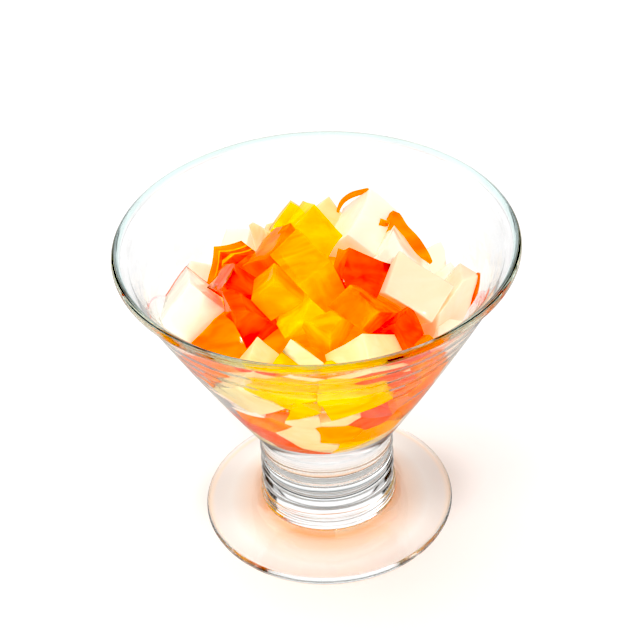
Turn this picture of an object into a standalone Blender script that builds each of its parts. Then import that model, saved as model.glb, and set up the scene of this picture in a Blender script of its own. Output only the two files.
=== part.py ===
"""Cut jelly pieces heaped in a clear footed dessert glass, in metres, +Z up.

The origin is the middle of the foot's underside. The glass is one turned solid: a conical bowl on
a thick solid stem on a round foot. The jelly is one solid out to its uneven outline: a core that
fills the bowl, with the blocks that show on top fused to it at their true size.
"""
import math
import random

import bmesh
import bpy
from mathutils import Euler, Matrix, Vector

MM = 0.001
COLLECTION = "jelly_dessert_glass"
TOUCH_GAP = 0.3 * MM            # between the jelly and the glass
TURN_STEPS = 72                 # sides of the turned solids

# Driving sizes of the glass
GLASS_HEIGHT = 98.1 * MM
RIM_BEAD = 1.25 * MM            # radius of the rim's round bead
RIM_RADIUS = 56.0 * MM          # to the middle of the bead
WALL = 2.2 * MM                 # thickness of the bowl's wall
CONE_FOOT = (21.7 * MM, 34.0 * MM)      # outside radius and height, top of the stem's fillet
CONE_MID = (37.9 * MM, 62.0 * MM)       # the cone bulges very slightly here
# Outside of the stem from the bowl down to its base: radius and height in mm
STEM_SIDE = ((20.6, 32.2), (19.8, 29.5), (19.6, 24.5), (19.8, 15.0), (20.1, 9.0), (20.6, 6.6))
# Top of the foot from the stem out, short of its edge
FOOT_TOP = ((24.0, 5.1), (30.0, 4.1))
FOOT_RADIUS = 37.7 * MM
FOOT_EDGE = 1.5 * MM            # half of the foot's thickness at its edge
BOWL_FLOOR_Z = 40.0 * MM        # inside bottom of the bowl
BOWL_FLOOR_RADIUS = 14.0 * MM
BOWL_CURVE = 5.0 * MM           # height at which the bowl's floor has turned into its wall
WALL_STEPS = 7                  # rings of faces up the bowl's wall

# Driving sizes of the jelly
CORE_SIDE_Z = 74.0 * MM         # top of the core at the wall
CORE_TOP_Z = 86.0 * MM          # and in the middle
CORE_STEPS = 5                  # rings of faces on the core's top, and down its side
SLANT = 7.0                     # degrees that a cut face may lean
NEIGHBOUR = 24.0 * MM           # blocks with their middles nearer than this may be pressed together
PRESSED = 0.4 * MM              # how far two pressed blocks run into each other, so that they fuse
WALL_CUT = 7.5                  # degrees between the flat cuts that follow the bowl's round inside
WALL_CUTS = 17
LEAST_VOLUME = 1e-7             # in cubic metres; a block pressed smaller than this is left out

# The blocks that show, topmost first: middle in mm, turn in degrees, size in mm
BLOCKS = {
    "yellow_peak_right": ((-1, 15, 90), (45, 45, -15), (12, 11, 11)),
    "yellow_peak_left": ((-5, 17, 90), (-35, 30, -10), (11, 13, 11)),
    "white_back": ((13, 17, 88), (-50, -15, 70), (17, 13, 11)),
    "amber_slab": ((-1, -7, 90), (65, 5, 120), (18, 19, 9)),
    "amber_cube": ((-12, -12, 90), (40, 0, -95), (11, 10, 10)),
    "orange_film": ((-10, 3, 89), (-130, -5, 55), (15, 13, 11)),
    "red_upper": ((-22, -6, 88), (-130, 40, 120), (16, 12, 8)),
    "red_lower": ((-19, -16, 86), (20, -70, -85), (18, 12, 9)),
    "red_right": ((10, -7, 89), (55, -30, -70), (14, 14, 11)),
    "white_mid": ((24, 1, 86), (50, 10, 95), (18, 18, 10)),
    "white_big": ((25, -9, 86), (35, 35, -20), (18, 12, 13)),
    "white_far_right": ((35, -7, 80), (165, -80, -30), (18, 14, 10)),
    "orange_right": ((12, -18, 86), (155, -40, -120), (18, 12, 9)),
    "orange_strip": ((26, 11, 88), (20, 18, -47), (16, 5, 4)),
    "yellow_chip": ((-5, -18, 87), (30, 20, 40), (12, 10, 10)),
    "amber_front": ((3, -21, 86), (120, 65, 80), (15, 14, 9)),
    "white_left": ((-38, -4, 79), (-135, -15, -85), (18, 18, 11)),
    "striped_back": ((-22, 5, 84), (-110, 10, -50), (13, 12, 11)),
    "orange_low_left": ((-28, -20, 78), (135, -35, 25), (15, 14, 12)),
    "red_small": ((21, -22, 80), (80, -45, -30), (10, 9, 9)),
    "cream_front_left": ((-18, -32, 75), (-165, 40, -10), (14, 14, 12)),
    "cream_front": ((-8, -32, 76), (-115, 35, -140), (15, 13, 10)),
    "cream_front_right": ((13, -30, 77), (135, 25, 40), (17, 14, 10)),
    "cream_back_left": ((-11, 17, 88), (-80, 30, 120), (12, 11, 11)),
    "cream_back": ((2, 22, 87), (-40, -20, 25), (14, 12, 11)),
}
# Rows of blocks under those: radius and height in mm, first and last azimuth, number
LOW_ROWS = ((38, 69, -5, 185, 8), (25, 79, 25, 155, 4), (36, 74, 215, 325, 4))


def clear_scene():
    for old in list(bpy.data.objects):
        bpy.data.objects.remove(old, do_unlink=True)


def make_material(name, color, roughness, transmission):
    material = bpy.data.materials.new(name)
    material.use_nodes = True
    shader = material.node_tree.nodes["Principled BSDF"]
    shader.inputs["Base Color"].default_value = (*color, 1.0)
    shader.inputs["Roughness"].default_value = roughness
    shader.inputs["Metallic"].default_value = 0.0
    shader.inputs["Transmission Weight"].default_value = transmission
    material.diffuse_color = (*color, 1.0)
    return material


def arc(middle, radius, start, end, steps):
    """Points (r, z) round a middle, angles in degrees."""
    points = []
    for i in range(steps + 1):
        turn = math.radians(start + (end - start) * i / steps)
        points.append((middle[0] + radius * math.cos(turn), middle[1] + radius * math.sin(turn)))
    return points


def cone_rise():
    """How much wider the bowl gets for each metre up."""
    return (RIM_RADIUS - CONE_FOOT[0]) / (GLASS_HEIGHT - RIM_BEAD - CONE_FOOT[1])


def outer_radius(z):
    """Outside radius of the bowl at height z: a cone that bulges very slightly."""
    along = (z - CONE_FOOT[1]) / (GLASS_HEIGHT - RIM_BEAD - CONE_FOOT[1])
    bulge = CONE_MID[0] - CONE_FOOT[0] - cone_rise() * (CONE_MID[1] - CONE_FOOT[1])
    return CONE_FOOT[0] + cone_rise() * (z - CONE_FOOT[1]) + 4.0 * bulge * along * (1.0 - along)


def inner_radius(z):
    """Inside radius of the bowl: the outside less the wall, on the slant."""
    return outer_radius(z) - WALL * math.sqrt(1.0 + cone_rise() ** 2)


def turn_profile(name, profile):
    """A closed solid turned from a profile that starts and ends on the axis."""
    mesh = bpy.data.meshes.new(name)
    points = [(r, 0.0, z) for r, z in profile]
    mesh.from_pydata(points, [(i, i + 1) for i in range(len(points) - 1)], [])
    obj = bpy.data.objects.new(name, mesh)
    screw = obj.modifiers.new("Turn", "SCREW")
    screw.axis = "Z"
    screw.steps = TURN_STEPS
    screw.render_steps = TURN_STEPS
    screw.use_merge_vertices = True
    screw.merge_threshold = 0.00002
    screw.use_smooth_shade = True
    return obj


def glass_profile():
    bead = (RIM_RADIUS, GLASS_HEIGHT - RIM_BEAD)
    edge = (FOOT_RADIUS - FOOT_EDGE, FOOT_EDGE)
    wall_top = bead[1] - 1.5 * RIM_BEAD
    profile = [(0.0, BOWL_FLOOR_Z), (BOWL_FLOOR_RADIUS, BOWL_FLOOR_Z)]
    profile += [(BOWL_FLOOR_RADIUS + 2.0 * MM, BOWL_FLOOR_Z + 0.6 * MM)]
    low = BOWL_FLOOR_Z + BOWL_CURVE
    heights = [low + (wall_top - low) * i / WALL_STEPS for i in range(WALL_STEPS + 1)]
    profile += [(inner_radius(z), z) for z in heights]
    profile += arc(bead, RIM_BEAD, 200.0, -40.0, 8)
    heights = [wall_top - (wall_top - CONE_FOOT[1]) * i / WALL_STEPS for i in range(WALL_STEPS + 1)]
    profile += [(outer_radius(z), z) for z in heights]
    profile += [(r * MM, z * MM) for r, z in STEM_SIDE + FOOT_TOP]
    profile += [(edge[0], 2.0 * FOOT_EDGE)]
    profile += arc(edge, FOOT_EDGE, 60.0, -90.0, 5)
    profile += [(0.0, 0.0)]
    return profile


def core_profile():
    """Down from the middle of the core's top, out to the wall and down to the bowl's floor."""
    profile = [(0.0, CORE_TOP_Z)]
    reach = inner_radius(CORE_SIDE_Z) - TOUCH_GAP
    for i in range(1, CORE_STEPS + 1):
        r = reach * i / CORE_STEPS
        profile.append((r, CORE_TOP_Z - (CORE_TOP_Z - CORE_SIDE_Z) * (r / reach) ** 2))
    low = BOWL_FLOOR_Z + BOWL_CURVE
    for i in range(1, CORE_STEPS + 1):
        z = CORE_SIDE_Z + (low - CORE_SIDE_Z) * i / CORE_STEPS
        profile.append((inner_radius(z) - TOUCH_GAP, z))
    profile.append((BOWL_FLOOR_RADIUS + 1.4 * MM, BOWL_FLOOR_Z + 1.1 * MM))
    profile.append((BOWL_FLOOR_RADIUS - 0.5 * MM, BOWL_FLOOR_Z + TOUCH_GAP))
    profile.append((0.0, BOWL_FLOOR_Z + TOUCH_GAP))
    return profile


def slice_off(bm, point, normal):
    """Cuts away what lies on the normal's side of a plane and closes the cut."""
    geometry = bm.verts[:] + bm.edges[:] + bm.faces[:]
    cut = bmesh.ops.bisect_plane(bm, geom=geometry, dist=1e-7, plane_co=point, plane_no=normal,
                                 clear_outer=True)
    rim = [e for e in cut["geom_cut"] if isinstance(e, bmesh.types.BMEdge)]
    if len(rim) > 2:
        bmesh.ops.edgeloop_fill(bm, edges=rim)


def row_blocks():
    """The blocks of the low rows, each turned its own way."""
    draw = random.Random(11)
    found = {}
    for row, (radius, height, first, last, count) in enumerate(LOW_ROWS):
        for i in range(count):
            around = math.radians(first + (last - first) * (i + 0.5) / count)
            at = (radius * math.cos(around), radius * math.sin(around), height + draw.uniform(-1.0, 1.0))
            turn = tuple(draw.uniform(-60, 60) for _ in range(3))
            size = (draw.uniform(14, 17), draw.uniform(12, 15), draw.uniform(10, 12))
            found[f"row_{row}_{i}"] = (at, turn, size)
    return found


def block_planes(at, turn, size, draw):
    """The six cut faces of a block, each leaning a little: (point, normal) in metres."""
    spin = Euler([math.radians(a) for a in turn]).to_matrix()
    middle = Vector(at) * MM
    planes = []
    for axis in range(3):
        for side in (-1.0, 1.0):
            normal = Vector((0.0, 0.0, 0.0))
            normal[axis] = side
            lean = Euler([math.radians(draw.uniform(-SLANT, SLANT)) for _ in range(3)]).to_matrix()
            planes.append((middle + spin @ (normal * size[axis] * 0.5 * MM), spin @ (lean @ normal)))
    return planes


def wall_planes(at):
    """Flat cuts that keep a block inside the bowl, each touching its round inside."""
    around = math.degrees(math.atan2(at[1], at[0]))
    z = at[2] * MM
    slope = (inner_radius(z + MM) - inner_radius(z - MM)) / (2.0 * MM)
    planes = []
    for step in range(WALL_CUTS):
        turn = math.radians(around + WALL_CUT * (step - (WALL_CUTS - 1) / 2))
        out = Vector((math.cos(turn), math.sin(turn), 0.0))
        point = out * (inner_radius(z) - TOUCH_GAP) + Vector((0.0, 0.0, z))
        planes.append((point, (out - Vector((0.0, 0.0, slope))).normalized()))
    return planes


def block_mesh(middle, planes):
    bm = bmesh.new()
    bmesh.ops.create_cube(bm, size=60.0 * MM, matrix=Matrix.Translation(middle))
    for point, normal in planes:
        slice_off(bm, point, normal)
    return bm


def kept_volume(bm, planes):
    trial = bm.copy()
    for point, normal in planes:
        slice_off(trial, point, normal)
    volume = trial.calc_volume() if len(trial.faces) > 3 else 0.0
    trial.free()
    return volume


def laid_blocks():
    """Every block in turn, flattened where it is pressed on one laid before it."""
    draw = random.Random(5)
    table = dict(BLOCKS)
    table.update(row_blocks())
    laid = []
    for name, (at, turn, size) in table.items():
        middle = Vector(at) * MM
        planes = block_planes(at, turn, size, draw)
        bm = block_mesh(middle, planes + wall_planes(at))
        for other_middle, other_planes in laid:
            if (other_middle - middle).length > NEIGHBOUR or len(bm.faces) < 4:
                continue
            if kept_volume(bm, other_planes) < 1e-10:
                continue
            flips = [(point - normal * PRESSED, -normal) for point, normal in other_planes]
            best = max(flips, key=lambda flip: kept_volume(bm, [flip]))
            slice_off(bm, *best)
        if len(bm.faces) > 3 and bm.calc_volume() > LEAST_VOLUME:
            laid.append((middle, planes))
            yield name, bm
        else:
            bm.free()


def keep_largest(mesh):
    """Drops loose scraps and fills hollows, so that one closed body is left."""
    bm = bmesh.new()
    bm.from_mesh(mesh)
    bmesh.ops.remove_doubles(bm, verts=bm.verts, dist=1e-6)
    bmesh.ops.dissolve_degenerate(bm, edges=bm.edges, dist=2e-6)
    left = set(bm.faces)
    shells = []
    while left:
        shell = [left.pop()]
        for face in shell:
            for edge in face.edges:
                for near in edge.link_faces:
                    if near in left:
                        left.remove(near)
                        shell.append(near)
        shells.append(shell)
    shells.sort(key=len)
    for shell in shells[:-1]:
        bmesh.ops.delete(bm, geom=shell, context="FACES")
    bmesh.ops.triangulate(bm, faces=bm.faces)
    bm.to_mesh(mesh)
    bm.free()


def make_heap(parts, cutters):
    core = turn_profile("jelly_heap", core_profile())
    parts.objects.link(core)
    for name, bm in laid_blocks():
        mesh = bpy.data.meshes.new(name)
        bmesh.ops.recalc_face_normals(bm, faces=bm.faces)
        bm.to_mesh(mesh)
        bm.free()
        cutters.objects.link(bpy.data.objects.new(name, mesh))
    union = core.modifiers.new("Fuse", "BOOLEAN")
    union.operation = "UNION"
    union.operand_type = "COLLECTION"
    union.collection = cutters
    graph = bpy.context.evaluated_depsgraph_get()
    fused = bpy.data.meshes.new_from_object(core.evaluated_get(graph))
    core.modifiers.clear()
    core.data = fused
    fused.name = "jelly_heap"
    for block in list(cutters.objects):
        bpy.data.objects.remove(block, do_unlink=True)
    keep_largest(fused)
    fused.shade_smooth()
    fused.set_sharp_from_angle(angle=math.radians(25.0))
    return core


def main():
    clear_scene()
    parts = bpy.data.collections.new(COLLECTION)
    cutters = bpy.data.collections.new("blocks")
    bpy.context.scene.collection.children.link(parts)
    bpy.context.scene.collection.children.link(cutters)
    glass = turn_profile("footed_glass", glass_profile())
    parts.objects.link(glass)
    glass.data.materials.append(make_material("clear_glass", (0.95, 0.98, 0.97), 0.02, 1.0))
    heap = make_heap(parts, cutters)
    heap.data.materials.append(make_material("cut_jelly", (1.0, 0.72, 0.35), 0.12, 0.3))


main()
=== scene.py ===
import math
import random

import bmesh
import bpy
from mathutils import Euler, Matrix, Vector


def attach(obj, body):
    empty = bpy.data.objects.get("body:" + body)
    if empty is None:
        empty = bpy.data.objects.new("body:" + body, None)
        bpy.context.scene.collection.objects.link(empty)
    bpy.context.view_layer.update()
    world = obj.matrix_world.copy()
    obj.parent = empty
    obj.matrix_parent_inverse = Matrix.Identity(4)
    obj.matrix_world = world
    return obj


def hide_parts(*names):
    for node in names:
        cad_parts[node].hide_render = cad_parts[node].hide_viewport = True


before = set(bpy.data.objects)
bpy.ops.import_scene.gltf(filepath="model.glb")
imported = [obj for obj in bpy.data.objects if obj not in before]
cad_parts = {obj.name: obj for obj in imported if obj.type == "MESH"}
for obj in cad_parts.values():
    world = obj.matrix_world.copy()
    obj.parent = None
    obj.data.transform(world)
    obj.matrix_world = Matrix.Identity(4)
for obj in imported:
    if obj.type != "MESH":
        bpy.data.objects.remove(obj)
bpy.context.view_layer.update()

mm = 0.001

# the glass, as the turned solid has it
glassSizes = {
    "height": 98.1 * mm,
    "rimRadius": 56.0 * mm,         # to the middle of the rim's bead
    "rimBead": 1.25 * mm,
    "wall": 2.2 * mm,
    "coneFoot": (21.7 * mm, 34.0 * mm),
    "coneMid": (37.9 * mm, 62.0 * mm),
    # outside of the stem from the bowl down, then the foot's top: radius and height in mm
    "stemSide": ((20.6, 32.2), (19.8, 29.5), (19.6, 24.5), (19.8, 15.0), (20.1, 9.0), (20.6, 6.6)),
    "footTop": ((24.0, 5.1), (30.0, 4.1)),
    "footRadius": 37.7 * mm,
    "footEdge": 1.5 * mm,
    "floorZ": 40.0 * mm,
    "floorRadius": 14.0 * mm,
    "floorTurn": (2.0 * mm, 0.6 * mm),      # out and up from the floor's edge, where it starts to turn up
    "floorCurve": 5.0 * mm,         # height over the floor at which it has turned into the wall
    "sides": 256,
    "floorSteps": 5, "wallSteps": 110, "outerSteps": 12, "stemSteps": 10, "footSteps": 6,
    "rimArc": (200.0, -40.0, 22),   # first and last degree of the bead, steps
    "edgeArc": (80.0, -90.0, 14),   # and of the foot's edge
    "turnRadius": 30.0 * mm,        # of the ring that the profile is carried round
    "rings": (70.0, 76.0, 81.5, 87.0),              # heights of faint level ripples inside, mm
    "ringDepth": 0.16 * mm, "ringWidth": 1.3,       # the width in mm
    "stemRings": (10.0, 15.5, 19.0, 24.5),          # and of rounded rings on the stem
    "stemRingDepth": 0.45 * mm, "stemRingWidth": 0.6,
}


def coneRise():
    g = glassSizes
    return (g["rimRadius"] - g["coneFoot"][0]) / (g["height"] - g["rimBead"] - g["coneFoot"][1])


def outerRadius(z):
    # outside radius of the bowl at a height
    g = glassSizes
    along = (z - g["coneFoot"][1]) / (g["height"] - g["rimBead"] - g["coneFoot"][1])
    bulge = g["coneMid"][0] - g["coneFoot"][0] - coneRise() * (g["coneMid"][1] - g["coneFoot"][1])
    return g["coneFoot"][0] + coneRise() * (z - g["coneFoot"][1]) + 4.0 * bulge * along * (1.0 - along)


def innerRadius(z):
    return outerRadius(z) - glassSizes["wall"] * math.sqrt(1.0 + coneRise() ** 2)


def floorRound():
    # the two points between which the bowl's floor turns into its wall: radius and height
    g = glassSizes
    out, up = g["floorTurn"]
    low = g["floorZ"] + g["floorCurve"]
    return (g["floorRadius"] + out, g["floorZ"] + up), (innerRadius(low), low)


# jelly blocks: cubes cut to leaning faces, then pressed flat where they meet
heapSizes = {
    "stock": 60.0 * mm,             # cube that each block is cut from
    "seed": 5, "rowSeed": 11,
    "slant": 7.0,                   # degrees that a cut face may lean
    "press": 0.05 * mm,             # air left between two pressed faces
    "near": 24.0 * mm,              # blocks further apart than this don't meet
    "least": 1e-7,                  # cubic metres; a block pressed smaller than this is left out
    "leastShared": 1e-10,           # and two blocks that share less than this don't press on each other
    "intoWall": 0.25 * mm,          # how far a piece reaches into the glass
    "weld": 0.02 * mm, "flat": 1.0,                 # faces that turn less than this many degrees are one
    "wallCuts": 9, "wallTurn": 6.0,                 # flat cuts to either side, and degrees between two
    "rowSizes": ((14, 17), (12, 15), (10, 12)),     # least and most of each side in the lower rows, mm
    "rowTurn": 60.0, "rowLift": 1.0,                # degrees and mm
    "coreInset": 9.0 * mm,
    "coreSide": 70.0 * mm, "coreTop": 86.0 * mm,    # heights of the core's shoulder and crown
    "coreSteps": 12, "coreSides": 96,
}

# blocks on top, first laid first: kind, middle in mm, turn in degrees, size in mm
topBlocks = {
    "yellowPeakRight": ("yellow", (-1, 15, 90), (45, 45, -15), (12, 11, 11)),
    "yellowPeakLeft": ("yellow", (-5, 17, 90), (-35, 30, -10), (11, 13, 11)),
    "whiteBack": ("white", (13, 17, 88), (-50, -15, 70), (17, 13, 11)),
    "amberSlab": ("amber", (-1, -7, 90), (65, 5, 120), (18, 19, 9)),
    "amberCube": ("amber", (-12, -12, 90), (40, 0, -95), (11, 10, 10)),
    "orangeFilm": ("orange", (-10, 3, 89), (-130, -5, 55), (15, 13, 11)),
    "redUpper": ("red", (-22, -6, 88), (-130, 40, 120), (16, 12, 8)),
    "redLower": ("red", (-19, -16, 86), (20, -70, -85), (18, 12, 9)),
    "redRight": ("red", (10, -7, 89), (55, -30, -70), (14, 14, 11)),
    "whiteMid": ("white", (24, 1, 86), (50, 10, 95), (18, 18, 10)),
    # these two white blocks take a darker, pinker copy of the white jelly: painted shade
    "whiteBig": ("shadedWhite", (25, -9, 86), (35, 35, -20), (18, 12, 13)),
    "whiteFarRight": ("shadedWhite", (35, -7, 80), (165, -80, -30), (18, 14, 10)),
    "orangeRight": ("orange", (12, -18, 86), (155, -40, -120), (18, 12, 9)),
    "orangeStrip": ("orange", (26, 11, 88), (20, 18, -47), (16, 5, 4)),
    "yellowChip": ("yellow", (-5, -18, 87), (30, 20, 40), (12, 10, 10)),
    "amberFront": ("amber", (3, -21, 86), (120, 65, 80), (15, 14, 9)),
    "whiteLeft": ("white", (-38, -4, 79), (-135, -15, -85), (18, 18, 11)),
    "stripedBack": ("orange", (-22, 5, 84), (-110, 10, -50), (13, 12, 11)),
    "orangeLowLeft": ("orange", (-28, -20, 78), (135, -35, 25), (15, 14, 12)),
    "redSmall": ("red", (21, -22, 80), (80, -45, -30), (10, 9, 9)),
    "creamFrontLeft": ("cream", (-18, -32, 75), (-165, 40, -10), (14, 14, 12)),
    "creamFront": ("cream", (-8, -32, 76), (-115, 35, -140), (15, 13, 10)),
    "creamFrontRight": ("cream", (13, -30, 77), (135, 25, 40), (17, 14, 10)),
    "creamBackLeft": ("cream", (-11, 17, 88), (-80, 30, 120), (12, 11, 11)),
    "creamBack": ("cream", (2, 22, 87), (-40, -20, 25), (14, 12, 11)),
}
# rows of blocks under those: radius and height in mm, first and last azimuth, kinds
lowRows = (
    (38, 69, -5, 185, ("white", "white", "cream", "yellow", "cream", "white", "white", "white")),
    (25, 79, 25, 155, ("white", "cream", "orange", "cream")),
    (36, 74, 215, 325, ("cream", "yellow", "yellow", "orange")),
)

def sliceOff(bm, point, normal):
    geometry = bm.verts[:] + bm.edges[:] + bm.faces[:]
    cut = bmesh.ops.bisect_plane(bm, geom=geometry, dist=1e-7, plane_co=point, plane_no=normal,
                                 clear_outer=True)
    rim = [e for e in cut["geom_cut"] if isinstance(e, bmesh.types.BMEdge)]
    if len(rim) > 2:
        bmesh.ops.edgeloop_fill(bm, edges=rim)


def keptVolume(bm, planes):
    trial = bm.copy()
    for point, normal in planes:
        sliceOff(trial, point, normal)
    volume = trial.calc_volume() if len(trial.faces) > 3 else 0.0
    trial.free()
    return volume


def rowBlocks():
    draw = random.Random(heapSizes["rowSeed"])
    found = {}
    for row, (radius, height, first, last, kinds) in enumerate(lowRows):
        for i, kind in enumerate(kinds):
            around = math.radians(first + (last - first) * (i + 0.5) / len(kinds))
            lift = draw.uniform(-heapSizes["rowLift"], heapSizes["rowLift"])
            at = (radius * math.cos(around), radius * math.sin(around), height + lift)
            turn = tuple(draw.uniform(-heapSizes["rowTurn"], heapSizes["rowTurn"]) for _ in range(3))
            size = tuple(draw.uniform(least, most) for least, most in heapSizes["rowSizes"])
            found[f"row{row}n{i}"] = (kind, at, turn, size)
    return found


def blockPlanes(at, turn, size, draw):
    spin = Euler([math.radians(a) for a in turn]).to_matrix()
    middle = Vector(at) * mm
    slant = heapSizes["slant"]
    planes = []
    for axis in range(3):
        for side in (-1.0, 1.0):
            normal = Vector((0.0, 0.0, 0.0))
            normal[axis] = side
            lean = Euler([math.radians(draw.uniform(-slant, slant)) for _ in range(3)]).to_matrix()
            planes.append((middle + spin @ (normal * size[axis] * 0.5 * mm), spin @ (lean @ normal)))
    return planes


def outwardWays(at):
    # level ways outwards, at even turns to both sides of a place
    around = math.degrees(math.atan2(at[1], at[0]))
    count, apart = heapSizes["wallCuts"], heapSizes["wallTurn"]
    turns = [math.radians(around + apart * step) for step in range(-count, count + 1)]
    return [Vector((math.cos(turn), math.sin(turn), 0.0)) for turn in turns]


def wallPlanes(at, reach):
    # flat cuts that follow the bowl's round inside; reach is how far they lie into the glass
    z = at[2]
    slope = (innerRadius(z + mm) - innerRadius(z - mm)) / (2.0 * mm)
    planes = []
    for out in outwardWays(at):
        point = out * (innerRadius(z) + reach) + Vector((0.0, 0.0, z))
        planes.append((point, (out - Vector((0.0, 0.0, slope))).normalized()))
    return planes


def floorPlanes(at, reach):
    # and cuts that follow the round between the bowl's floor and its wall
    inner, outer = (Vector(point) for point in floorRound())
    down = Vector((outer.y - inner.y, inner.x - outer.x)).normalized()
    planes = [(Vector((0.0, 0.0, glassSizes["floorZ"] - reach)), Vector((0.0, 0.0, -1.0)))]
    for out in outwardWays(at):
        normal = out * down.x + Vector((0.0, 0.0, down.y))
        planes.append((out * inner.x + Vector((0.0, 0.0, inner.y)) + normal * reach, normal))
    return planes


def blockMesh(middle, planes):
    bm = bmesh.new()
    bmesh.ops.create_cube(bm, size=heapSizes["stock"], matrix=Matrix.Translation(middle))
    for point, normal in planes:
        sliceOff(bm, point, normal)
    return bm


def pressAgainst(bm, middle, laid):
    # each earlier block that this one runs into flattens it along the face that costs it least
    for otherMiddle, otherPlanes in laid:
        if (otherMiddle - middle).length > heapSizes["near"] or len(bm.faces) < 4:
            continue
        if keptVolume(bm, otherPlanes) < heapSizes["leastShared"]:
            continue
        gap = heapSizes["press"]
        flips = [(point + normal * gap, -normal) for point, normal in otherPlanes]
        best = max(flips, key=lambda flip: keptVolume(bm, [flip]))
        sliceOff(bm, *best)


def layHeap():
    draw = random.Random(heapSizes["seed"])
    table = dict(topBlocks)
    table.update(rowBlocks())
    laid = []
    pieces = []
    for name, (kind, at, turn, size) in table.items():
        middle = Vector(at) * mm
        planes = blockPlanes(at, turn, size, draw)
        bm = blockMesh(middle, planes + wallPlanes(middle, heapSizes["intoWall"]))
        pressAgainst(bm, middle, laid)
        if len(bm.faces) < 4 or bm.calc_volume() < heapSizes["least"]:
            bm.free()
            continue
        laid.append((middle, planes))
        if name in looseFilms:
            bm.free()
        else:
            pieces += splitFilms(name, kind, bm, planes)
    pieces += [(film[0], filmMesh(*film[1:])) for film in looseFilms.values()]
    return laid, pieces


# pieces against the glass in front: kind, azimuth, height in mm
wallFront = (
    ("orange", -152, 76), ("white", -130, 76), ("white", -124, 68), ("yellow", -102, 78),
    ("yellow", -82, 79), ("red", -66, 75), ("orange", -47, 74), ("cream", -102, 69), ("cream", -82, 69),
    ("orange", -119, 61), ("red", -67, 62), ("orange", -47, 60), ("cream", -104, 55), ("amber", -84, 56),
    ("red", -122, 51), ("amber", -63, 52), ("yellow", -71, 45), ("cream", -96, 46), ("white", -146, 63),
    ("red", -150, 51),
)
# and round the sides and the back: height in mm, first and last azimuth, kinds
wallRings = (
    (74.0, -38, 196, ("white", "orange", "orange", "cream", "yellow", "white", "red", "cream", "orange",
                      "white", "yellow")),
    (61.0, -36, 198, ("cream", "red", "yellow", "white", "orange", "cream", "red", "white", "orange")),
    (49.0, -44, 196, ("white", "orange", "red", "cream", "yellow", "orange", "white", "cream")),
    (43.5, -180, 180, ("cream", "red", "cream", "orange", "yellow", "white", "orange", "cream")),
)
wallSizes = {
    "seed": 3,
    "inward": 4.0 * mm,             # from the glass to a piece's middle
    "behind": 9.0,                  # and from there to its back, in mm
    "near": 45.0 * mm,              # pieces further apart than this don't meet
    "level": 76.0, "frontRise": 2.5,                # tops of the highest pieces in mm, higher in front
    "levelDraw": (-1.0, 1.5), "heightDraw": 1.5,    # mm
    "aroundDraw": 0.18,             # as a part of the room that a piece has in its ring
    "topLean": 0.15,                # how far a top may lean, against 1 straight up
}


def wallSites(draw):
    # kind, middle and way outwards of each piece against the glass
    w = wallSizes
    spots = list(wallFront)
    for height, first, last, kinds in wallRings:
        for i, kind in enumerate(kinds):
            along = i + 0.5 + draw.uniform(-w["aroundDraw"], w["aroundDraw"])
            around = first + (last - first) * along / len(kinds)
            spots.append((kind, around, height + draw.uniform(-w["heightDraw"], w["heightDraw"])))
    sites = []
    for kind, around, height in spots:
        out = Vector((math.cos(math.radians(around)), math.sin(math.radians(around)), 0.0))
        z = height * mm
        sites.append((kind, out * (innerRadius(z) - w["inward"]) + Vector((0.0, 0.0, z)), out))
    return sites


def layWall(laid):
    # pieces pressed to the glass: each ends where the next ones begin
    w = wallSizes
    draw = random.Random(w["seed"])
    sites = wallSites(draw)
    pieces = []
    for kind, middle, out in sites:
        planes = wallPlanes(middle, heapSizes["intoWall"])
        planes.append((middle - out * w["behind"] * mm, -out))
        planes += floorPlanes(middle, heapSizes["intoWall"])
        lean = [draw.uniform(-w["topLean"], w["topLean"]) for _ in range(2)]
        level = (w["level"] - w["frontRise"] * out.y + draw.uniform(*w["levelDraw"])) * mm
        planes.append((Vector((middle.x, middle.y, level)), Vector((*lean, 1.0)).normalized()))
        for _, other, _ in sites:
            apart = other - middle
            if 1e-6 < apart.length < w["near"]:         # the first leaves out the piece itself
                half = (middle + other) * 0.5 - apart.normalized() * heapSizes["press"]
                planes.append((half, apart.normalized()))
        bm = blockMesh(middle, planes)
        pressAgainst(bm, middle, laid)
        if len(bm.faces) > 3 and bm.calc_volume() > heapSizes["least"]:
            pieces.append((kind, bm))
        else:
            bm.free()
    return pieces


# blocks in layers: the way that the outer face looks, then the layers inwards from it in mm
filmedBlocks = {
    "whiteLeft": ((-0.1, 0.95, -0.25), (("red", 1.0), ("white", 30.0))),
    "stripedBack": ((-0.6, 0.75, 0.2), (("orange", 2.0), ("yellow", 0.5), ("red", 1.3), ("yellow", 0.5),
                                       ("red", 1.6), ("orange", 30.0))),
    "creamFront": ((0.3, 0.3, 0.9), (("cream", 4.4), ("yellow", 30.0))),
    "creamFrontRight": ((0.0, 0.2, 1.0), (("cream", 7.0), ("red", 30.0))),
}
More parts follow.
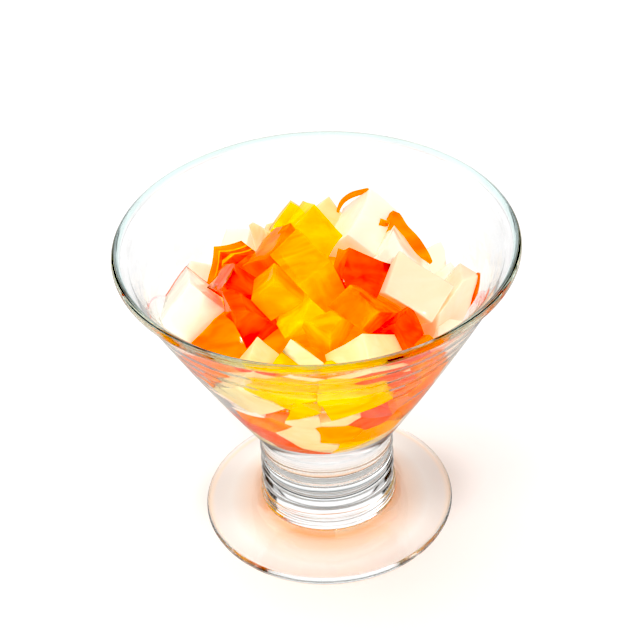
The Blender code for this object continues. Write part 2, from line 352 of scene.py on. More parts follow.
# loose films of jelly: kind, path in mm, way across, widths along the path and thickness in mm
looseFilms = {
    "orangeStrip": (
        "orange",
        ((18.4, 14.4, 90.0), (21.4, 16.4, 91.8), (25.4, 12.6, 89.8), (28.6, 8.8, 87.4), (32.4, 4.4, 84.4)),
        (3.8, 2.9, 1.6), (3.2, 5.6, 4.0, 4.0, 0.8), 1.6),
    "whiteBackFilm": (
        "orange",
        ((7.0, 27.4, 87.6), (8.8, 27.4, 91.4), (11.8, 25.8, 95.0), (15.4, 23.2, 97.6)),
        (0.77, -0.1, -0.62), (0.6, 1.1, 1.3, 0.9), 0.9),
    "whiteFarRightFilm": (
        "red",
        ((44.6, -5.9, 87.4), (44.6, -5.4, 83.5), (43.6, -5.0, 78.0), (41.6, -5.2, 73.0)),
        (-6.9, 7.0, 1.7), (0.8, 1.4, 1.8, 1.4), 0.9),
}
filmSizes = {
    "steps": 4,                     # between two points of the path
    "narrowest": 0.2 * mm,
    "layerGap": 0.03,               # mm between two layers of a block
}


def smoothRun(points, steps):
    # a Catmull-Rom curve through points of two or three coordinates, ends kept
    ends = [Vector(p).to_3d() for p in (points[0], *points, points[-1])]
    run = []
    for a, b, c, d in zip(ends, ends[1:], ends[2:], ends[3:]):
        for s in range(steps):
            t = s / steps
            run.append(0.5 * (2 * b + (c - a) * t + (2 * a - 5 * b + 4 * c - d) * t * t
                              + (3 * b - a - 3 * c + d) * t ** 3))
    run.append(ends[-1])
    return run


def filmMesh(path, across, widths, thick):
    # a thin band carried along a curve
    bm = bmesh.new()
    steps = filmSizes["steps"]
    run = smoothRun([Vector(p) * mm for p in path], steps)
    spread = smoothRun([(width * mm, 0.0) for width in widths], steps)
    rows = []
    for i, point in enumerate(run):
        ahead = (run[min(i + 1, len(run) - 1)] - run[max(i - 1, 0)]).normalized()
        side = (Vector(across) - ahead * Vector(across).dot(ahead)).normalized()
        up = side.cross(ahead)
        half = side * max(spread[i].x, filmSizes["narrowest"]) * 0.5
        lift = up * thick * mm * 0.5
        corners = (half + lift, lift - half, -half - lift, half - lift)
        rows.append([bm.verts.new(point + corner) for corner in corners])
    for row, after in zip(rows, rows[1:]):
        for i in range(4):
            bm.faces.new((row[i], row[(i + 1) % 4], after[(i + 1) % 4], after[i]))
    bm.faces.new(rows[0])
    bm.faces.new(rows[-1])
    return bm


def splitFilms(name, kind, bm, planes):
    # slabs of one block, cut one behind the other from the face that looks the given way
    if name not in filmedBlocks:
        return [(kind, bm)]
    way, layers = filmedBlocks[name]
    point, normal = max(planes, key=lambda plane: plane[1].dot(Vector(way)))
    slabs = []
    depth = 0.0
    for layer, thick in layers:
        slab = bm.copy()
        if depth > 0.0:
            sliceOff(slab, point - normal * depth * mm, normal)
        depth += thick
        sliceOff(slab, point - normal * (depth - filmSizes["layerGap"]) * mm, -normal)
        if len(slab.faces) > 3:
            slabs.append((layer, slab))
    bm.free()
    return slabs


# meshes

def pieceFrom(bm, name):
    mesh = bpy.data.meshes.new(name)
    bm.to_mesh(mesh)
    bm.free()
    piece = bpy.data.objects.new(name, mesh)
    bpy.context.scene.collection.objects.link(piece)
    return piece


def joinBlocks(blocks, name):
    whole = bmesh.new()
    for bm in blocks:
        bmesh.ops.remove_doubles(bm, verts=bm.verts, dist=heapSizes["weld"])
        flat = math.radians(heapSizes["flat"])
        bmesh.ops.dissolve_limit(bm, angle_limit=flat, verts=bm.verts, edges=bm.edges)
        bmesh.ops.recalc_face_normals(bm, faces=bm.faces)
        mesh = bpy.data.meshes.new("block")
        bm.to_mesh(mesh)
        bm.free()
        whole.from_mesh(mesh)
        bpy.data.meshes.remove(mesh)
    return pieceFrom(whole, name)


def bake(piece):
    # the evaluated mesh becomes the piece's own, and its modifiers go
    graph = bpy.context.evaluated_depsgraph_get()
    done = bpy.data.meshes.new_from_object(piece.evaluated_get(graph))
    piece.modifiers.clear()
    old = piece.data
    piece.data = done
    bpy.data.meshes.remove(old)
    return piece


def addNode(tree, kind, at, **values):
    node = tree.nodes.new(kind)
    node.location = at
    for name, value in values.items():
        if hasattr(node, name):
            setattr(node, name, value)
        else:
            node.inputs[name.replace("_", " ")].default_value = value
    return node


def setInput(modifier, tree, name, value):
    for item in tree.interface.items_tree:
        if item.item_type == "SOCKET" and item.in_out == "INPUT" and item.name == name:
            modifier[item.identifier] = value
            return
    raise KeyError(name)


# Geometry Nodes: uneven faces for cut jelly
jellyFaces = {
    # the tree's inputs; the warp is one bend through neighbouring pieces
    "inputs": {"Cuts": 2, "Swell": 0.30 * mm, "Swell Size": 110.0, "Grain": 0.035 * mm, "Grain Size": 420.0,
               "Warp": 3.2 * mm, "Warp Size": 75.0},
    "warpFrom": 2.0 * mm, "warpTo": 12.0 * mm,      # over the bowl's floor: none below, all above
    "edge": {"white": 0.95 * mm, "shadedWhite": 0.95 * mm, "cream": 0.8 * mm},
    "otherEdges": 0.65 * mm,
    "edgeSteps": 2, "edgeFrom": 22.0,               # edges sharper than this many degrees are rounded
}


def jellyFaceTree():
    tree = bpy.data.node_groups.new("jellyFaces", "GeometryNodeTree")
    face = tree.interface
    face.new_socket("Geometry", in_out="INPUT", socket_type="NodeSocketGeometry")
    for name, value in jellyFaces["inputs"].items():
        kind = "NodeSocketInt" if isinstance(value, int) else "NodeSocketFloat"
        face.new_socket(name, in_out="INPUT", socket_type=kind)
    face.new_socket("Material", in_out="INPUT", socket_type="NodeSocketMaterial")
    face.new_socket("Geometry", in_out="OUTPUT", socket_type="NodeSocketGeometry")
    link = tree.links.new
    enter = addNode(tree, "NodeGroupInput", (-900, 0))
    split = addNode(tree, "GeometryNodeSubdivideMesh", (-700, 0))
    place = addNode(tree, "GeometryNodeInputPosition", (-900, -200))
    normal = addNode(tree, "GeometryNodeInputNormal", (-500, -400))
    offsets = []
    for i, name in enumerate(("Swell", "Grain")):
        noise = addNode(tree, "ShaderNodeTexNoise", (-700, -200 - 250 * i), Detail=1.5)
        link(place.outputs[0], noise.inputs["Vector"])
        link(enter.outputs[name + " Size"], noise.inputs["Scale"])
        centre = addNode(tree, "ShaderNodeMath", (-500, -200 - 250 * i), operation="SUBTRACT")
        link(noise.outputs[0], centre.inputs[0])
        centre.inputs[1].default_value = 0.5
        depth = addNode(tree, "ShaderNodeMath", (-350, -200 - 250 * i), operation="MULTIPLY")
        link(centre.outputs[0], depth.inputs[0])
        link(enter.outputs[name], depth.inputs[1])
        offsets.append(depth)
    total = addNode(tree, "ShaderNodeMath", (-200, -250), operation="ADD")
    link(offsets[0].outputs[0], total.inputs[0])
    link(offsets[1].outputs[0], total.inputs[1])
    push = addNode(tree, "ShaderNodeVectorMath", (-50, -250), operation="SCALE")
    link(normal.outputs[0], push.inputs[0])
    link(total.outputs[0], push.inputs["Scale"])
    # the warp runs along the bowl's wall and not through it, and fades out at its floor
    field = addNode(tree, "ShaderNodeTexNoise", (-1500, -800), Detail=0.5)
    bend = addNode(tree, "ShaderNodeVectorMath", (-1300, -800), operation="SUBTRACT")
    bend.inputs[1].default_value = (0.5, 0.5, 0.5)
    level = addNode(tree, "ShaderNodeVectorMath", (-1500, -1100), operation="MULTIPLY")
    level.inputs[1].default_value = (1.0, 1.0, 0.0)
    outward = addNode(tree, "ShaderNodeVectorMath", (-1300, -1100), operation="NORMALIZE")
    leaning = addNode(tree, "ShaderNodeVectorMath", (-1100, -1100), operation="ADD")
    leaning.inputs[1].default_value = (0.0, 0.0, -coneRise())
    wall = addNode(tree, "ShaderNodeVectorMath", (-900, -1100), operation="NORMALIZE")
    through = addNode(tree, "ShaderNodeVectorMath", (-700, -900), operation="PROJECT")
    along = addNode(tree, "ShaderNodeVectorMath", (-500, -800), operation="SUBTRACT")
    parts = addNode(tree, "ShaderNodeSeparateXYZ", (-1300, -1400))
    rise = addNode(tree, "ShaderNodeMapRange", (-1100, -1400))
    rise.inputs["From Min"].default_value = glassSizes["floorZ"] + jellyFaces["warpFrom"]
    rise.inputs["From Max"].default_value = glassSizes["floorZ"] + jellyFaces["warpTo"]
    depth = addNode(tree, "ShaderNodeMath", (-500, -1200), operation="MULTIPLY")
    warp = addNode(tree, "ShaderNodeVectorMath", (-300, -800), operation="SCALE")
    both = addNode(tree, "ShaderNodeVectorMath", (-50, -500), operation="ADD")
    link(place.outputs[0], field.inputs["Vector"])
    link(enter.outputs["Warp Size"], field.inputs["Scale"])
    link(field.outputs["Color"], bend.inputs[0])
    link(place.outputs[0], level.inputs[0])
    link(level.outputs[0], outward.inputs[0])
    link(outward.outputs[0], leaning.inputs[0])
    link(leaning.outputs[0], wall.inputs[0])
    link(bend.outputs[0], through.inputs[0])
    link(wall.outputs[0], through.inputs[1])
    link(bend.outputs[0], along.inputs[0])
    link(through.outputs[0], along.inputs[1])
    link(place.outputs[0], parts.inputs[0])
    link(parts.outputs["Z"], rise.inputs["Value"])
    link(rise.outputs[0], depth.inputs[0])
    link(enter.outputs["Warp"], depth.inputs[1])
    link(along.outputs[0], warp.inputs[0])
    link(depth.outputs[0], warp.inputs["Scale"])
    link(push.outputs[0], both.inputs[0])
    link(warp.outputs[0], both.inputs[1])
    move = addNode(tree, "GeometryNodeSetPosition", (150, 0))
    paint = addNode(tree, "GeometryNodeSetMaterial", (350, 0))
    real = addNode(tree, "GeometryNodeRealizeInstances", (250, 0))
    leave = addNode(tree, "NodeGroupOutput", (550, 0))
    link(enter.outputs["Geometry"], split.inputs[0])
    link(enter.outputs["Cuts"], split.inputs["Level"])
    link(split.outputs[0], move.inputs[0])
    link(both.outputs[0], move.inputs["Offset"])
    link(move.outputs[0], real.inputs[0])
    link(real.outputs[0], paint.inputs[0])
    link(enter.outputs["Material"], paint.inputs["Material"])
    link(paint.outputs[0], leave.inputs[0])
    return tree


def finishJelly(piece, tree, material, edge):
    bevel = piece.modifiers.new("Soft edges", "BEVEL")
    bevel.width = edge
    bevel.segments = jellyFaces["edgeSteps"]
    bevel.limit_method = "ANGLE"
    bevel.angle_limit = math.radians(jellyFaces["edgeFrom"])
    bevel.use_clamp_overlap = True
    nodes = piece.modifiers.new("Jelly faces", "NODES")
    nodes.node_group = tree
    for name, value in jellyFaces["inputs"].items():
        setInput(nodes, tree, name, value)
    setInput(nodes, tree, "Material", material)
    bake(piece)
    piece.data.shade_smooth()
    return piece


# materials

def newMaterial(name):
    material = bpy.data.materials.new(name)
    material.use_nodes = True
    tree = material.node_tree
    return material, tree, tree.nodes["Principled BSDF"]


def addGloss(tree, shader, place, size, smooth, dull):
    # roughness that varies over the surface
    noise = addNode(tree, "ShaderNodeTexNoise", (-900, -100), Scale=size, Detail=2.0)
    gloss = addNode(tree, "ShaderNodeMapRange", (-600, -100))
    gloss.inputs["To Min"].default_value = smooth
    gloss.inputs["To Max"].default_value = dull
    tree.links.new(place.outputs["Object"], noise.inputs["Vector"])
    tree.links.new(noise.outputs[0], gloss.inputs["Value"])
    tree.links.new(gloss.outputs[0], shader.inputs["Roughness"])


def addRipple(tree, shader, place, noise, strength, depth):
    # small unevenness; the noise is given by its scale and detail
    wave = addNode(tree, "ShaderNodeTexNoise", (-900, -400), Scale=noise[0], Detail=noise[1])
    bump = addNode(tree, "ShaderNodeBump", (-400, -400), Strength=strength, Distance=depth)
    tree.links.new(place.outputs["Object"], wave.inputs["Vector"])
    tree.links.new(wave.outputs[0], bump.inputs["Height"])
    tree.links.new(bump.outputs[0], shader.inputs["Normal"])


jellyLooks = {
    # deep colour, light colour, how clear, how much light runs inside and how far in mm, painted glow that
    # lightens it where light would shine through
    "white": ((1.0, 0.84, 0.68), (1.0, 0.88, 0.72), 0.0, 0.6, (2.0, 2.0, 2.0), 0.24),
    # painted shade: a darker, pinker copy of the white jelly, for the white blocks at the right
    "shadedWhite": ((1.0, 0.68, 0.47), (1.0, 0.71, 0.52), 0.0, 0.6, (2.0, 2.0, 2.0), 0.18),
    "cream": ((1.0, 0.71, 0.33), (1.0, 0.79, 0.45), 0.0, 0.7, (2.6, 2.5, 2.1), 0.14),
    "yellow": ((1.0, 0.54, 0.0), (1.0, 0.77, 0.02), 0.42, 0.7, (6.0, 3.8, 0.6), 0.22),
    "amber": ((1.0, 0.38, 0.0), (1.0, 0.58, 0.005), 0.42, 0.7, (6.0, 3.2, 0.5), 0.22),
    "orange": ((1.0, 0.22, 0.0), (1.0, 0.38, 0.01), 0.35, 0.7, (6.0, 2.2, 0.4), 0.20),
    "red": ((1.0, 0.12, 0.03), (1.0, 0.21, 0.07), 0.20, 0.7, (5.0, 1.4, 0.4), 0.12),
}
jellySurface = {
    "ior": 1.36, "specular": 0.2,
    "streakTurn": (0.7, 0.4, 1.0), "streakStretch": (0.6, 2.2, 1.0),
    "streakSize": 110.0, "streakTwist": 0.9,
    "streakFrom": 0.35, "streakTo": 0.65,           # of the noise, from deep colour to light
    "smooth": 0.04, "dull": 0.18, "dullSize": 300.0,
    "rippleSize": 520.0, "ripple": 0.3, "rippleDepth": 0.3 * mm,
    "wet": 0.35, "wetRoughness": 0.04, "wetIor": 1.33,
}


def jellyMaterial(kind):
    deep, light, clear, inside, run, paintedGlow = jellyLooks[kind]
    look = jellySurface
    material, tree, shader = newMaterial(kind + "Jelly")
    link = tree.links.new
    place = addNode(tree, "ShaderNodeTexCoord", (-1200, 0))
    streak = addNode(tree, "ShaderNodeMapping", (-1050, 200))
    streak.inputs["Rotation"].default_value = look["streakTurn"]
    streak.inputs["Scale"].default_value = look["streakStretch"]
    clouds = addNode(tree, "ShaderNodeTexNoise", (-900, 200), Scale=look["streakSize"], Detail=3.0,
                     Distortion=look["streakTwist"])
    spread = addNode(tree, "ShaderNodeMapRange", (-700, 200))
    spread.inputs["From Min"].default_value = look["streakFrom"]
    spread.inputs["From Max"].default_value = look["streakTo"]
    mix = addNode(tree, "ShaderNodeMix", (-500, 250), data_type="RGBA")
    mix.inputs[6].default_value = (*deep, 1.0)
    mix.inputs[7].default_value = (*light, 1.0)
    link(place.outputs["Object"], streak.inputs[0])
    link(streak.outputs[0], clouds.inputs["Vector"])
    link(clouds.outputs[0], spread.inputs["Value"])
    link(spread.outputs[0], mix.inputs[0])
    link(mix.outputs[2], shader.inputs["Base Color"])
    link(mix.outputs[2], shader.inputs["Emission Color"])
    addGloss(tree, shader, place, look["dullSize"], look["smooth"], look["dull"])
    addRipple(tree, shader, place, (look["rippleSize"], 3.0), look["ripple"], look["rippleDepth"])
    # painted light: the jelly glows in its own colour though it is no lamp
    shader.inputs["Emission Strength"].default_value = paintedGlow
    shader.inputs["Subsurface Weight"].default_value = inside
    shader.inputs["Subsurface Radius"].default_value = tuple(r * mm for r in run)
    shader.inputs["Subsurface Scale"].default_value = 1.0
    shader.inputs["Transmission Weight"].default_value = clear
    shader.inputs["IOR"].default_value = look["ior"]
    shader.inputs["Specular IOR Level"].default_value = look["specular"]
    shader.inputs["Coat Weight"].default_value = look["wet"]
    shader.inputs["Coat Roughness"].default_value = look["wetRoughness"]
    shader.inputs["Coat IOR"].default_value = look["wetIor"]
    material.diffuse_color = (*light, 1.0)
    return material


glassLook = {
    "ior": 1.5,
    "tint": (0.62, 0.74, 0.72), "density": 3.0,     # faint green that long ways through the glass take on
    "rimTint": (0.62, 0.86, 0.83),                  # seen along the rim, where the light runs inside
    "rimFrom": 97.0 * mm, "rimTo": 98.0 * mm,
    "dull": 0.01, "dullSize": 60.0,
    "rippleSize": 110.0, "ripple": 0.12, "rippleDepth": 0.4 * mm,
}


def glassMaterial():
    look = glassLook
    material, tree, shader = newMaterial("clearGlass")
    link = tree.links.new
    shader.inputs["Transmission Weight"].default_value = 1.0
    shader.inputs["IOR"].default_value = look["ior"]
    place = addNode(tree, "ShaderNodeTexCoord", (-1100, 0))
    parts = addNode(tree, "ShaderNodeSeparateXYZ", (-900, 350))
    nearRim = addNode(tree, "ShaderNodeMapRange", (-700, 350))
    nearRim.inputs["From Min"].default_value = look["rimFrom"]
    nearRim.inputs["From Max"].default_value = look["rimTo"]
    color = addNode(tree, "ShaderNodeMix", (-450, 350), data_type="RGBA")
    color.inputs[6].default_value = (1.0, 1.0, 1.0, 1.0)
    color.inputs[7].default_value = (*look["rimTint"], 1.0)
    link(place.outputs["Object"], parts.inputs[0])
    link(parts.outputs["Z"], nearRim.inputs["Value"])
    link(nearRim.outputs[0], color.inputs["Factor"])
    link(color.outputs[2], shader.inputs["Base Color"])
    addGloss(tree, shader, place, look["dullSize"], 0.0, look["dull"])
    addRipple(tree, shader, place, (look["rippleSize"], 1.0), look["ripple"], look["rippleDepth"])
    tint = addNode(tree, "ShaderNodeVolumeAbsorption", (0, -300))
    tint.inputs["Color"].default_value = (*look["tint"], 1.0)
    tint.inputs["Density"].default_value = look["density"]
    link(tint.outputs[0], tree.nodes["Material Output"].inputs["Volume"])
    return material


# the glass: its profile swept round by Geometry Nodes

def arc(middle, radius, start, end, steps):
    points = []
    for i in range(steps + 1):
        turn = math.radians(start + (end - start) * i / steps)
        points.append((middle[0] + radius * math.cos(turn), middle[1] + radius * math.sin(turn)))
    return points


def rounded(z, rings, depth, width):
    # how far soft rings at these heights stand out at height z
    return sum(depth * math.exp(-((z / mm - ring) / width) ** 2) for ring in rings)


def glassProfile():
    # radius and height from the bowl's floor up inside, over the rim, down outside and under the foot
    g = glassSizes
    bead = (g["rimRadius"], g["height"] - g["rimBead"])
    edge = (g["footRadius"] - g["footEdge"], g["footEdge"])
    wallTop = bead[1] - 1.5 * g["rimBead"]
    low = g["floorZ"] + g["floorCurve"]
    floor = [(0.0, g["floorZ"]), (g["floorRadius"] * 0.6, g["floorZ"]), (g["floorRadius"], g["floorZ"])]
    floor += floorRound()
    profile = [(p.x, p.y) for p in smoothRun(floor, g["floorSteps"])[:-1]]
    for i in range(g["wallSteps"] + 1):
        z = low + (wallTop - low) * i / g["wallSteps"]
        profile.append((innerRadius(z) - rounded(z, g["rings"], g["ringDepth"], g["ringWidth"]), z))
    profile += arc(bead, g["rimBead"], *g["rimArc"])
    steps = g["outerSteps"]
    outer = [wallTop - (wallTop - g["coneFoot"][1]) * i / steps for i in range(steps + 1)]
    profile += [(outerRadius(z), z) for z in outer]
    side = [(r * mm, z * mm) for r, z in g["stemSide"]]
    run = smoothRun([profile[-1], *side], g["stemSteps"])
    for p in run[1:]:
        profile.append((p.x + rounded(p.y, g["stemRings"], g["stemRingDepth"], g["stemRingWidth"]), p.y))
    top = [(r * mm, z * mm) for r, z in g["footTop"]] + [(edge[0], 2.0 * g["footEdge"])]
    profile += [(p.x, p.y) for p in smoothRun([side[-1], *top], g["footSteps"])[1:-1]]
    profile += arc(edge, g["footEdge"], *g["edgeArc"])
    profile += [(edge[0] - 0.4 * mm, 0.0), (25.0 * mm, 0.0), (0.0, 0.0)]      # flat underneath
    return profile


def turnTree():
    tree = bpy.data.node_groups.new("turnedGlass", "GeometryNodeTree")
    face = tree.interface
    face.new_socket("Geometry", in_out="INPUT", socket_type="NodeSocketGeometry")
    face.new_socket("Sides", in_out="INPUT", socket_type="NodeSocketInt")
    face.new_socket("Material", in_out="INPUT", socket_type="NodeSocketMaterial")
    face.new_socket("Geometry", in_out="OUTPUT", socket_type="NodeSocketGeometry")
    link = tree.links.new
    enter = addNode(tree, "NodeGroupInput", (-800, 0))
    outline = addNode(tree, "GeometryNodeMeshToCurve", (-550, -150))
    ring = addNode(tree, "GeometryNodeCurvePrimitiveCircle", (-550, 100))
    ring.inputs["Radius"].default_value = glassSizes["turnRadius"]
    sweep = addNode(tree, "GeometryNodeCurveToMesh", (-250, 0))
    weld = addNode(tree, "GeometryNodeMergeByDistance", (-50, 0))
    weld.inputs["Distance"].default_value = 0.01 * mm
    real = addNode(tree, "GeometryNodeRealizeInstances", (150, 0))
    paint = addNode(tree, "GeometryNodeSetMaterial", (350, 0))
    leave = addNode(tree, "NodeGroupOutput", (550, 0))
    link(enter.outputs["Geometry"], outline.inputs[0])
    link(enter.outputs["Sides"], ring.inputs["Resolution"])
    link(ring.outputs[0], sweep.inputs["Curve"])
    link(outline.outputs[0], sweep.inputs["Profile Curve"])
    link(sweep.outputs[0], weld.inputs[0])
    link(weld.outputs[0], real.inputs[0])
    link(real.outputs[0], paint.inputs[0])
    link(enter.outputs["Material"], paint.inputs["Material"])
    link(paint.outputs[0], leave.inputs[0])
    return tree


def turnedPiece(name, profile, sides, material):
    # the profile lies in the ring's own plane: x out from the ring, y down
    mesh = bpy.data.meshes.new(name)
    points = [(r - glassSizes["turnRadius"], -z, 0.0) for r, z in profile]
    mesh.from_pydata(points, [(i, i + 1) for i in range(len(points) - 1)], [])
    piece = bpy.data.objects.new(name, mesh)
    bpy.context.scene.collection.objects.link(piece)
    tree = turnTree()
    nodes = piece.modifiers.new("Turn", "NODES")
    nodes.node_group = tree
    setInput(nodes, tree, "Sides", sides)
    setInput(nodes, tree, "Material", material)
    bake(piece)
    bm = bmesh.new()
    bm.from_mesh(piece.data)
    print(name, "volume", round(bm.calc_volume(signed=True) * 1e6, 2), "cm3")
    if bm.calc_volume(signed=True) < 0.0:
        bmesh.ops.reverse_faces(bm, faces=bm.faces)
    bm.to_mesh(piece.data)
    bm.free()
    piece.data.shade_smooth()
    return piece


def makeGlass():
    piece = turnedPiece("servingGlass", glassProfile(), glassSizes["sides"], glassMaterial())
    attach(piece, "root")
    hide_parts("footed_glass")
    piece.visible_shadow = False        # light falls through it on the jelly and the floor
    piece.visible_diffuse = False
    print("glass made")


def coreProfile():
    # the jelly's inside, which fills what the pieces leave open
    h = heapSizes
    reach = innerRadius(h["coreSide"]) - h["coreInset"]
    profile = []
    for i in range(h["coreSteps"] + 1):
        r = reach * i / h["coreSteps"]
        profile.append((r, h["coreTop"] - (h["coreTop"] - h["coreSide"]) * (r / reach) ** 2))
    low = glassSizes["floorZ"] + 1.0 * mm
    for i in range(1, h["coreSteps"] + 1):
        z = h["coreSide"] + (low - h["coreSide"]) * i / h["coreSteps"]
        profile.append((max(innerRadius(z) - h["coreInset"], 4.0 * mm), z))
    profile.append((0.0, low))
    return profile


def makeHeap():
    tree = jellyFaceTree()
    laid, blocks = layHeap()
    print("blocks on top laid", len(blocks))
    blocks += layWall(laid)
    print("with those against the glass", len(blocks))
    byKind = {}
    for kind, bm in blocks:
        byKind.setdefault(kind, []).append(bm)
    for kind, slabs in byKind.items():
        piece = joinBlocks(slabs, kind + "Jelly")
        edge = jellyFaces["edge"].get(kind, jellyFaces["otherEdges"])
        finishJelly(piece, tree, jellyMaterial(kind), edge)
        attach(piece, "root")
        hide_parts("jelly_heap")
        print(piece.name, len(slabs), "pieces,", len(piece.data.polygons), "faces")
    core = turnedPiece("innerJelly", coreProfile(), heapSizes["coreSides"], jellyMaterial("amber"))
    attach(core, "root")
    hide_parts("jelly_heap")
    print("heap laid")


# floor, light and camera

studio = {
    "floorColor": (0.95, 0.95, 0.95, 1.0),
    "floorZ": -0.2 * mm,            # the foot stands on a film of air
    "floorGlow": 0.14,
    # painted light and shade on the floor, for the light that falls through the glass and jelly and the
    # shade under the foot: radius in mm and colour, from the axis out
    "floorPaintedLight": (
        (0.0, (0.80, 0.76, 0.72)), (14.0, (0.92, 0.70, 0.48)), (17.5, (1.0, 0.52, 0.20)),
        (20.0, (1.0, 0.67, 0.46)), (24.0, (1.0, 0.80, 0.64)), (30.0, (0.97, 0.96, 0.92)),
        (35.0, (0.87, 0.82, 0.78)), (36.2, (0.96, 0.78, 0.60)), (37.2, (0.96, 0.95, 0.94)),
        (60.0, (1.0, 1.0, 1.0))),
    # painted shadows on the floor: colour, middle, inner and outer radius in mm
    "floorPaintedShadows": (
        ((0.76, 0.72, 0.69), (-25.0, 4.0), (5.0, 21.0)),
        ((0.66, 0.62, 0.60), (25.0, 6.0), (5.0, 26.0)),
        ((0.94, 0.92, 0.915), (52.0, 16.0), (4.0, 30.0))),
    # painted shade in reflections: the floor is darker where the glass mirrors it
    "floorMirrored": 0.40,          # how bright the glass mirrors the floor
    "skyTop": 1.05,
    "skyBand": 0.04,                # a dark band round the horizon, which draws the lines in the glass
    "bandFrom": 0.03, "bandTo": 0.50,
    "flagSide": 0.66, "flagWidth": 0.14,            # and dark flags to the left and right
    "flagFade": 1.3,                # how much wider a flag is where it has faded out
    # lamps: place, point that they look at, size in metres, watts, seen in the glass or not
    "lamps": {
        "softboxLeft": ((-0.45, 0.25, 0.75), (0.0, 0.0, 0.06), (0.5, 0.5), 1.0, True),
        "softboxFront": ((0.12, -0.75, 0.65), (0.0, 0.0, 0.06), (0.035, 0.035), 0.80, True),
        "softboxLow": ((-0.1, -0.5, 0.12), (0.0, 0.0, 0.05), (0.5, 0.16), 0.8, False),
    },
    "exposure": 0.12,
    "black": 0.085,
}


def setStops(ramp, stops):
    # colours along a ramp: place from 0 to 1, colour
    while len(ramp.elements) < len(stops):
        ramp.elements.new(1.0)
    for element, (at, color) in zip(ramp.elements, stops):
        element.position = at
        element.color = (*color, 1.0)


def makeFloor():
    bm = bmesh.new()
    bmesh.ops.create_grid(bm, x_segments=4, y_segments=4, size=3.0,
                          matrix=Matrix.Translation((0.0, 0.0, studio["floorZ"])))
    floor = pieceFrom(bm, "studioFloor")
    material, tree, shader = newMaterial("studioFloor")
    shader.inputs["Roughness"].default_value = 0.7
    shader.inputs["Specular IOR Level"].default_value = 0.2
    shader.inputs["Emission Color"].default_value = (1.0, 1.0, 1.0, 1.0)
    shader.inputs["Emission Strength"].default_value = studio["floorGlow"]
    link = tree.links.new
    place = addNode(tree, "ShaderNodeTexCoord", (-1300, 0))
    reach = addNode(tree, "ShaderNodeVectorMath", (-1100, 300), operation="LENGTH")
    link(place.outputs["Object"], reach.inputs[0])
    # painted light and shade: the floor's colour along its radius from the glass's axis
    widest = studio["floorPaintedLight"][-1][0] * mm
    across = addNode(tree, "ShaderNodeMapRange", (-950, 300))
    across.inputs["From Max"].default_value = widest
    link(reach.outputs["Value"], across.inputs["Value"])
    paintedLightRamp = addNode(tree, "ShaderNodeValToRGB", (-800, 300))
    setStops(paintedLightRamp.color_ramp, [(radius * mm / widest, tone) for radius, tone in studio["floorPaintedLight"]])
    link(across.outputs[0], paintedLightRamp.inputs[0])
    before = addNode(tree, "ShaderNodeMix", (-500, 300), data_type="RGBA")
    before.blend_type = "MULTIPLY"
    before.inputs[0].default_value = 1.0
    before.inputs[6].default_value = studio["floorColor"]
    link(paintedLightRamp.outputs[0], before.inputs[7])
    # painted shadows, multiplied into the floor's colour
    for i, (shadowTone, middle, (inner, outer)) in enumerate(studio["floorPaintedShadows"]):
        away = addNode(tree, "ShaderNodeVectorMath", (-1100, -300 * i), operation="DISTANCE")
        away.inputs[1].default_value = (middle[0] * mm, middle[1] * mm, studio["floorZ"])
        fade = addNode(tree, "ShaderNodeMapRange", (-900, -300 * i))
        fade.interpolation_type = "SMOOTHSTEP"
        fade.inputs["From Min"].default_value = inner * mm
        fade.inputs["From Max"].default_value = outer * mm
        fade.inputs["To Min"].default_value = 1.0
        fade.inputs["To Max"].default_value = 0.0
        color = addNode(tree, "ShaderNodeMix", (-650 + 200 * i, -300 * i), data_type="RGBA")
        color.blend_type = "MULTIPLY"
        color.inputs[7].default_value = (*shadowTone, 1.0)
        link(place.outputs["Object"], away.inputs[0])
        link(away.outputs["Value"], fade.inputs["Value"])
        link(fade.outputs[0], color.inputs[0])
        link(before.outputs[2], color.inputs[6])
        before = color
    # painted shade in reflections: the floor is dimmed when seen mirrored in the glass
    seen = addNode(tree, "ShaderNodeLightPath", (-400, 300))
    mirrored = addNode(tree, "ShaderNodeMapRange", (-200, 300))
    mirrored.inputs["To Min"].default_value = 1.0
    mirrored.inputs["To Max"].default_value = studio["floorMirrored"]
    dimmed = addNode(tree, "ShaderNodeVectorMath", (0, 200), operation="SCALE")
    link(seen.outputs["Glossy Depth"], mirrored.inputs["Value"])
    link(before.outputs[2], dimmed.inputs[0])
    link(mirrored.outputs[0], dimmed.inputs["Scale"])
    link(dimmed.outputs[0], shader.inputs["Base Color"])
    floor.data.materials.append(material)


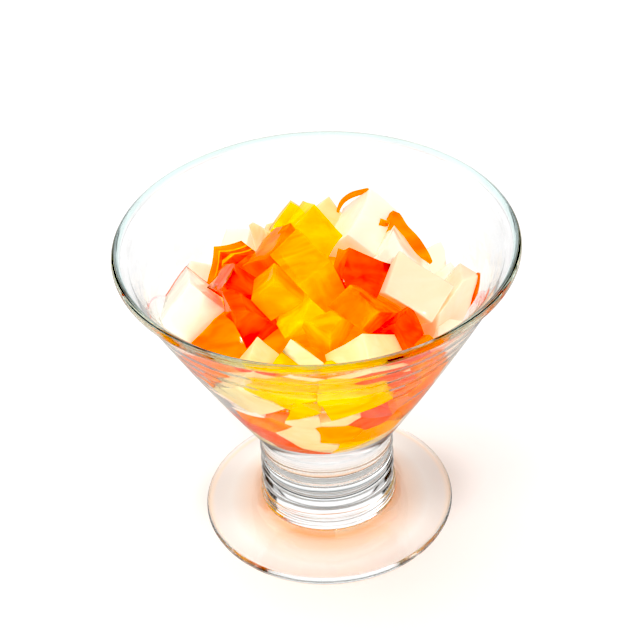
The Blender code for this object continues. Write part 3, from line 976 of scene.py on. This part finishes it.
def makeWorld():
    # white all round, but for a dark band above the horizon and a dark flag on either side
    world = bpy.data.worlds.new("studio")
    bpy.context.scene.world = world
    world.use_nodes = True
    tree = world.node_tree
    link = tree.links.new
    place = addNode(tree, "ShaderNodeTexCoord", (-1100, 0))
    parts = addNode(tree, "ShaderNodeSeparateXYZ", (-900, 0))
    band = addNode(tree, "ShaderNodeValToRGB", (-600, 0))
    low, high = studio["bandFrom"], studio["bandTo"]
    bright = (studio["skyTop"],) * 3
    dark = (studio["skyBand"],) * 3
    band.color_ramp.interpolation = "EASE"
    setStops(band.color_ramp, ((low, bright), ((low + high) / 2.0, dark), (high, bright)))
    aside = addNode(tree, "ShaderNodeMath", (-800, -300), operation="ABSOLUTE")
    flags = addNode(tree, "ShaderNodeValToRGB", (-600, -300))
    near, half = studio["flagSide"], studio["flagWidth"] / 2.0
    white = (1.0, 1.0, 1.0)
    faded = half * studio["flagFade"]
    setStops(flags.color_ramp, ((near - faded, white), (near - half, dark), (near + half, dark),
                                (near + faded, white)))
    both = addNode(tree, "ShaderNodeMix", (-250, 0), data_type="RGBA")
    both.blend_type = "MULTIPLY"
    both.inputs[0].default_value = 1.0
    link(place.outputs["Generated"], parts.inputs[0])
    link(parts.outputs["Z"], band.inputs[0])
    link(parts.outputs["X"], aside.inputs[0])
    link(aside.outputs[0], flags.inputs[0])
    link(band.outputs[0], both.inputs[6])
    link(flags.outputs[0], both.inputs[7])
    # plain white behind the object
    seen = addNode(tree, "ShaderNodeLightPath", (-450, 300))
    shown = addNode(tree, "ShaderNodeMix", (-100, 200), data_type="RGBA")
    shown.inputs[7].default_value = (*bright, 1.0)
    link(seen.outputs["Is Camera Ray"], shown.inputs[0])
    link(both.outputs[2], shown.inputs[6])
    link(shown.outputs[2], tree.nodes["Background"].inputs["Color"])


def areaLight(name, at, target, size, watts, mirrored):
    data = bpy.data.lights.new(name, "AREA")
    data.shape = "RECTANGLE"
    data.size, data.size_y = size
    data.energy = watts
    lamp = bpy.data.objects.new(name, data)
    lamp.location = at
    lamp.visible_glossy = mirrored
    lamp.rotation_euler = (Vector(target) - Vector(at)).to_track_quat("-Z", "Y").to_euler()
    bpy.context.scene.collection.objects.link(lamp)


# the camera's height, pitch and roll as the rim and foot show them in the picture
view = {"distance": 0.6149, "elevation": 42.74, "pitchUp": 5.16, "roll": 3.07, "lens": 111.54}


def makeCamera():
    rise = math.radians(view["elevation"])
    at = Vector((0.0, -math.cos(rise), math.sin(rise))) * view["distance"]
    forward = -at.normalized()
    right = Vector((1.0, 0.0, 0.0))
    forward = Matrix.Rotation(math.radians(view["pitchUp"]), 3, right) @ forward
    right = Matrix.Rotation(math.radians(view["roll"]), 3, forward) @ right
    up = right.cross(forward)
    data = bpy.data.cameras.new("photoCamera")
    data.lens = view["lens"]
    data.sensor_width = 36.0
    data.clip_start = 0.01
    camera = bpy.data.objects.new("photoCamera", data)
    turn = Matrix((right, up, -forward)).transposed()
    camera.matrix_world = Matrix.Translation(at) @ turn.to_4x4()
    bpy.context.scene.collection.objects.link(camera)
    bpy.context.scene.camera = camera
    print("camera set")


def makeStudio():
    makeFloor()
    makeWorld()
    for name, lamp in studio["lamps"].items():
        areaLight(name, *lamp)
    scene = bpy.context.scene
    scene.view_settings.view_transform = "Standard"
    scene.view_settings.look = "None"
    scene.view_settings.exposure = studio["exposure"]
    scene.view_settings.use_curve_mapping = True
    scene.view_settings.curve_mapping.black_level = (studio["black"],) * 3
    scene.cycles.max_bounces = 24
    scene.cycles.transmission_bounces = 20
    scene.cycles.glossy_bounces = 10
    scene.cycles.transparent_max_bounces = 16
    scene.cycles.diffuse_bounces = 6
    scene.cycles.sample_clamp_indirect = 8.0
    print("studio set")


makeCamera()
makeGlass()
makeHeap()
makeStudio()
